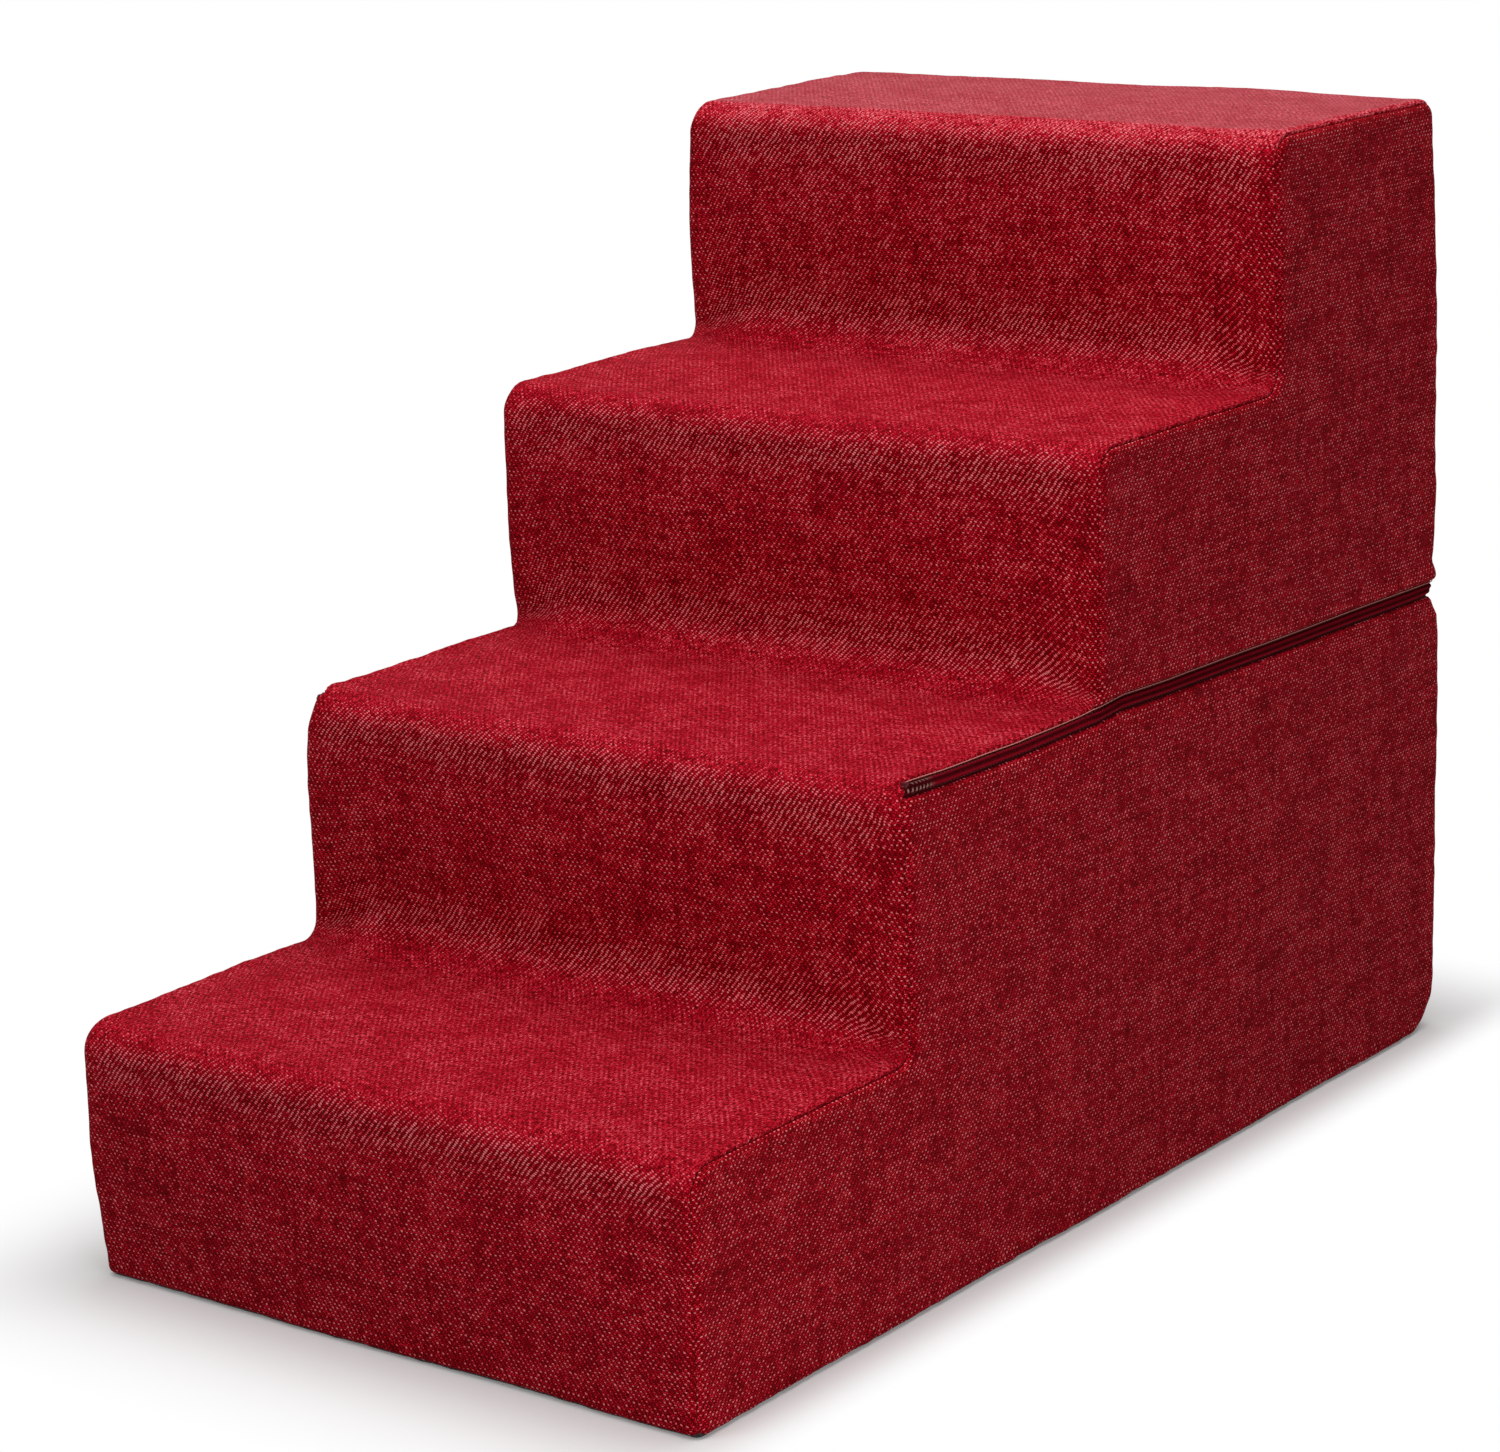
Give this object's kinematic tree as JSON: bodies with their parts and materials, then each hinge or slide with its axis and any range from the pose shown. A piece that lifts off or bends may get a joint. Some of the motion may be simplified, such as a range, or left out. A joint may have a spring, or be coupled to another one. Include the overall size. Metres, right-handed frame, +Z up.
{
  "type": "pet stairs",
  "caption": "Soft foam pet stairs in a zipped red twill cover; the upper half unzips and folds forward over the lower half for storage.",
  "frame": {"origin": "on the floor, at the middle of the footprint", "axes": "X across the stairs, +Y from the front to the back that they climb to, +Z up"},
  "size_m": [0.4137, 0.7355, 0.566],
  "materials": {
    "cover_cloth": "matte",
    "base_cloth": "matte",
    "lining": "matte",
    "foam": "matte",
    "zip_tape": "matte",
    "zip_coil": "satin",
    "zip_metal": "satin"
  },
  "bodies": {
    "lower": {"lower_foam_block": "foam", "lower_step_panel": "cover_cloth", "lower_side_panel_right": "cover_cloth", "lower_side_panel_left": "cover_cloth", "lower_back_panel": "cover_cloth", "bottom_panel": "base_cloth", "lower_lining": "lining", "lower_zip_tape": "zip_tape", "lower_zip_coil": "zip_coil", "tread_zip_tape": "zip_tape", "tread_zip_coil": "zip_coil", "zip_end_stops": "zip_metal"},
    "upper": {"upper_foam_block": "foam", "upper_step_panel": "cover_cloth", "upper_side_panel_right": "cover_cloth", "upper_side_panel_left": "cover_cloth", "upper_back_panel": "cover_cloth", "upper_lining": "lining", "upper_zip_tape": "zip_tape", "upper_zip_coil": "zip_coil"},
    "zip_slider": {"zip_slider": "zip_metal"},
    "zip_pull": {"zip_pull_tab": "zip_metal"}
  },
  "joints": [
    {"name": "fold", "type": "hinge", "parent": "lower", "child": "upper", "pos_m": [0, -0.094, 0.2845], "axis": [1, 0, 0], "range_deg": [0, 180]},
    {"name": "zip_slide", "type": "slide", "parent": "lower", "child": "zip_slider", "axis": [0, 1, 0], "range_m": [0, 0.485]},
    {"name": "pull_swing", "type": "hinge", "parent": "zip_slider", "child": "zip_pull", "pos_m": [-0.2054, -0.1675, 0.27866], "axis": [0, 0, 1], "range_deg": [0, 170]}
  ]
}
